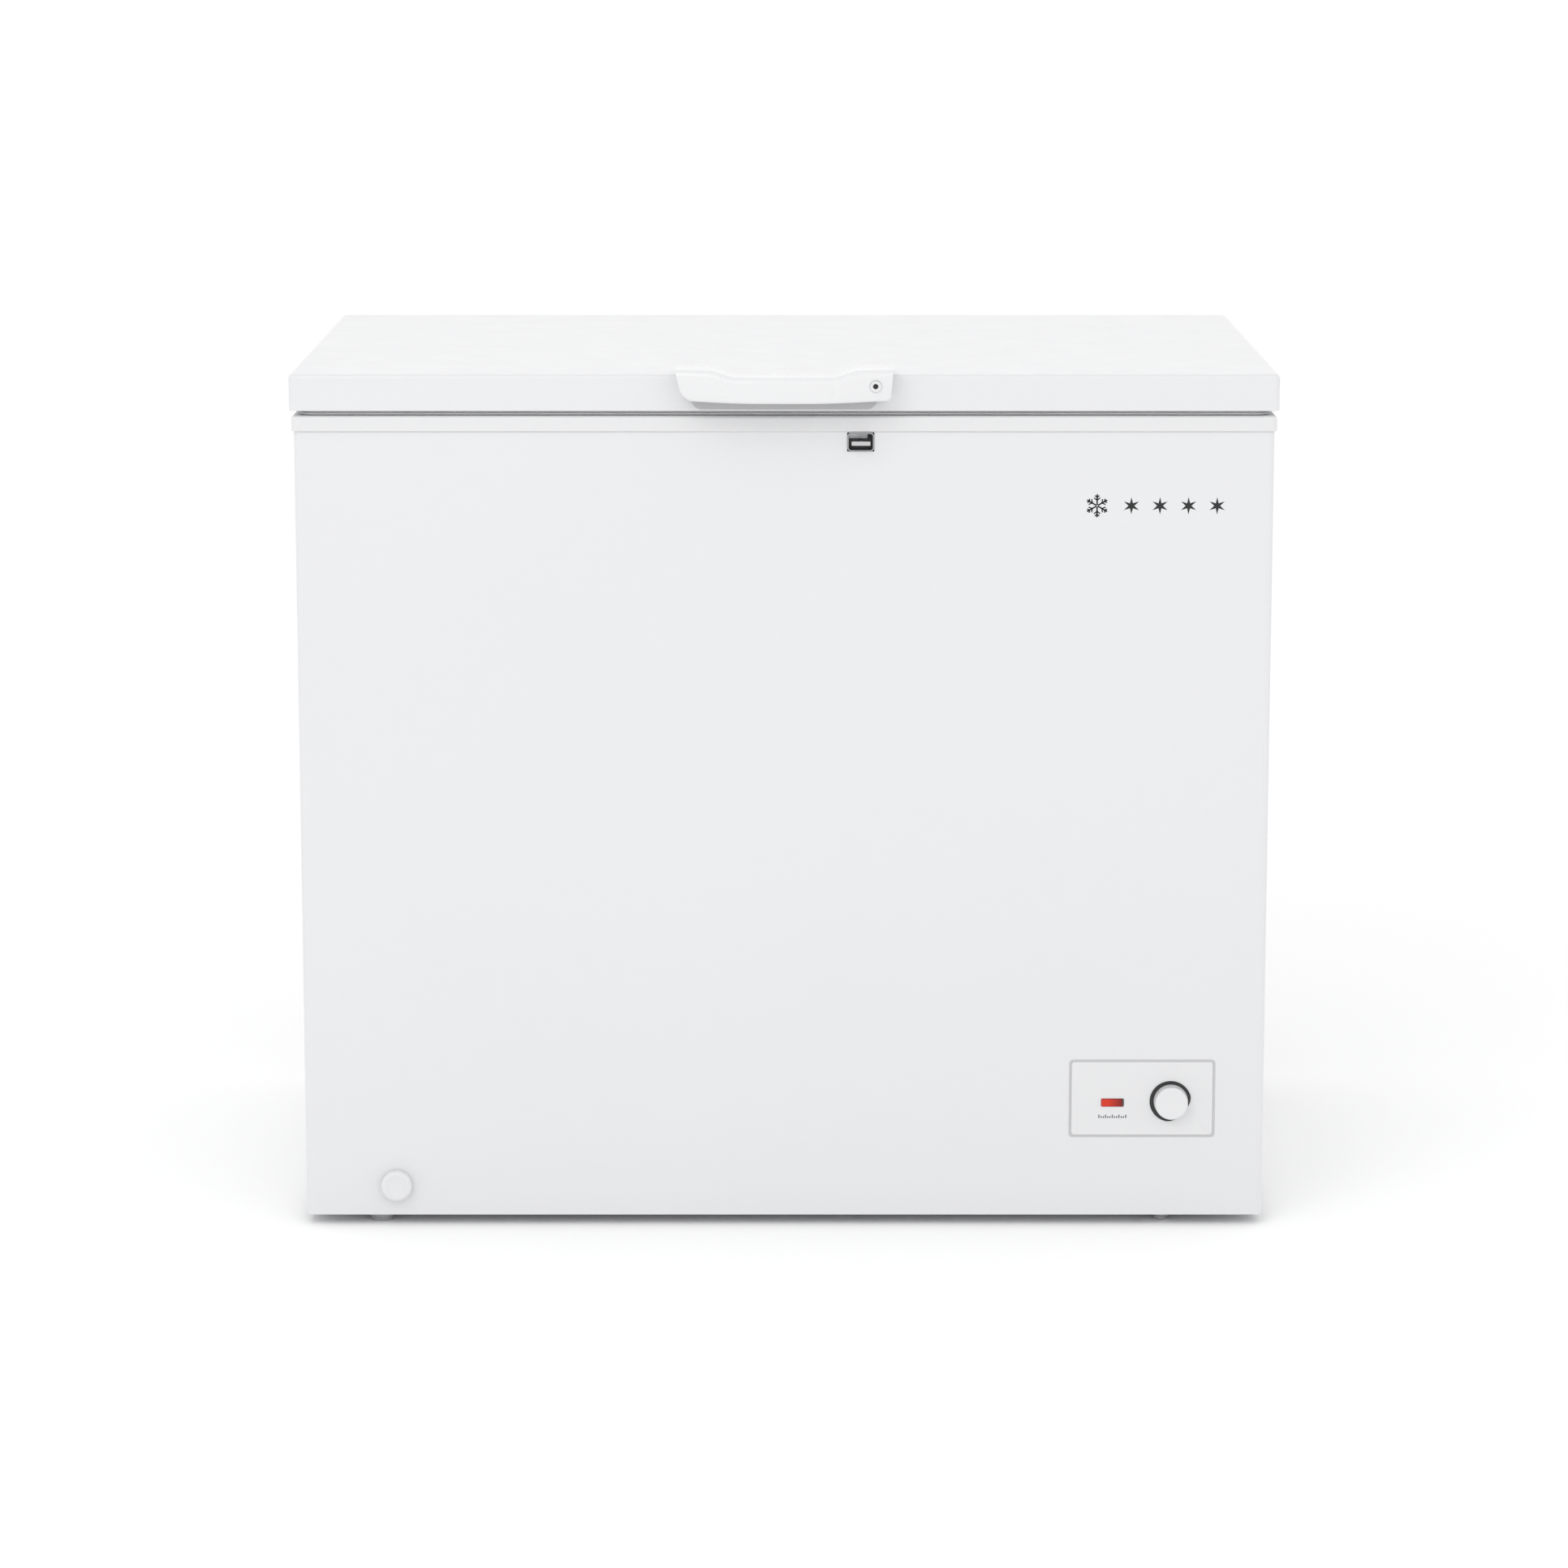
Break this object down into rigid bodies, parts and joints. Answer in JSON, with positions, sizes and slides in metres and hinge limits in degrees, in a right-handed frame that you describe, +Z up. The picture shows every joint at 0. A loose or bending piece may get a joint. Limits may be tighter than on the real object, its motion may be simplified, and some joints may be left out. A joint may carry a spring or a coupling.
{
  "type": "chest freezer",
  "caption": "White chest freezer with a sprung hinged lid, hooded handle with key lock, stepped tub, hanging wire basket, front control panel and drain.",
  "frame": {"origin": "on the floor, under the middle of the object's outer box", "axes": "+X right as seen from the front, +Y to the rear, +Z up"},
  "size_m": [0.95, 0.652, 0.849],
  "materials": {
    "shell_paint": "gloss white powder coat on sheet steel",
    "zinc_sheet": "zinc coated sheet",
    "liner_paint": "white coated sheet liner",
    "foam": "rigid polyurethane foam",
    "collar_plastic": "white moulded plastic",
    "handle_plastic": "white moulded plastic",
    "panel_plastic": "white moulded plastic",
    "knob_plastic": "white moulded plastic",
    "dark_plastic": "dark grey plastic",
    "lens_red": "translucent red lens",
    "grey_plastic": "grey plastic",
    "lid_plastic": "vacuum formed white plastic",
    "drain_plastic": "white plastic",
    "seal": "soft grey gasket",
    "black_rubber": "black rubber",
    "hinge_steel": "zinc plated steel",
    "screw_steel": "zinc plated steel",
    "spring_steel": "spring steel",
    "lock_chrome": "chrome plated",
    "copper": "copper tube",
    "compressor_black": "black paint",
    "iron": "cast iron and windings",
    "wire_coating": "white coated wire",
    "foot_plastic": "grey plastic glide"
  },
  "bodies": {
    "cabinet": {"outer_wrap": "shell_paint", "back_panel": "zinc_sheet", "base_plate": "zinc_sheet", "compressor_plate": "zinc_sheet", "inner_liner": "liner_paint", "foam_front": "foam", "foam_back": "foam", "foam_left": "foam", "foam_right": "foam", "foam_floor": "foam", "foam_step": "foam", "top_collar": "collar_plastic", "evaporator_coil": "copper", "condenser_coil": "copper", "compressor_shell": "compressor_black", "compressor_motor": "iron", "compressor_grommets": "black_rubber", "relay_cover": "dark_plastic", "filter_drier": "copper", "suction_line": "copper", "drain_tube": "drain_plastic", "control_panel": "panel_plastic", "panel_box": "grey_plastic", "knob_ring": "dark_plastic", "thermostat": "grey_plastic", "indicator_lamp": "grey_plastic", "indicator_lens": "lens_red", "side_grille": "panel_plastic", "rear_cover": "zinc_sheet", "rear_cover_screws": "screw_steel", "cord_gland": "black_rubber", "foot_front_left": "foot_plastic", "foot_front_right": "foot_plastic", "foot_rear_left": "foot_plastic", "foot_rear_right": "foot_plastic", "catch_frame": "hinge_steel", "catch_stud": "lock_chrome", "hinge_bracket_left": "hinge_steel", "hinge_bracket_right": "hinge_steel", "hinge_pin_left": "hinge_steel", "hinge_pin_right": "hinge_steel", "hinge_spring_left": "spring_steel", "hinge_spring_right": "spring_steel", "bracket_screws": "screw_steel"},
    "lid": {"lid_skin": "shell_paint", "lid_foam": "foam", "lid_inner_panel": "lid_plastic", "lid_gasket": "seal", "handle": "handle_plastic", "handle_base": "grey_plastic", "handle_screws": "screw_steel", "lid_leaf_left": "hinge_steel", "lid_leaf_right": "hinge_steel", "leaf_screws": "screw_steel"},
    "lock": {"lock_barrel": "lock_chrome", "lock_cam": "lock_chrome"},
    "knob": {"thermostat_knob": "knob_plastic"},
    "drain_cap": {"drain_cap": "drain_plastic"},
    "drain_plug": {"drain_plug": "drain_plastic"},
    "basket": {"basket": "wire_coating"}
  },
  "joints": [
    {"name": "lid_hinge", "type": "hinge", "parent": "cabinet", "child": "lid", "pos_m": [0, 0.32, 0.8], "axis": [-1, 0, 0], "range_deg": [0, 80], "stiffness_Nm_per_rad": 7.6, "springref_deg": 108.86},
    {"name": "key_turn", "type": "hinge", "parent": "lid", "child": "lock", "pos_m": [0.087, -0.293, 0.834], "axis": [0, -1, 0], "range_deg": [0, 69.73]},
    {"name": "thermostat_turn", "type": "hinge", "parent": "cabinet", "child": "knob", "pos_m": [0.3797, -0.29, 0.1255], "axis": [0, 1, 0], "range_deg": [0, 300]},
    {"name": "drain_cap_pull", "type": "slide", "parent": "cabinet", "child": "drain_cap", "axis": [0, -1, 0], "range_m": [0, 0.04]},
    {"name": "drain_plug_lift", "type": "slide", "parent": "cabinet", "child": "drain_plug", "axis": [0, 0, 1], "range_m": [0, 0.05]},
    {"name": "basket_slide", "type": "slide", "parent": "cabinet", "child": "basket", "axis": [1, 0, 0], "range_m": [0, 0.53]}
  ]
}
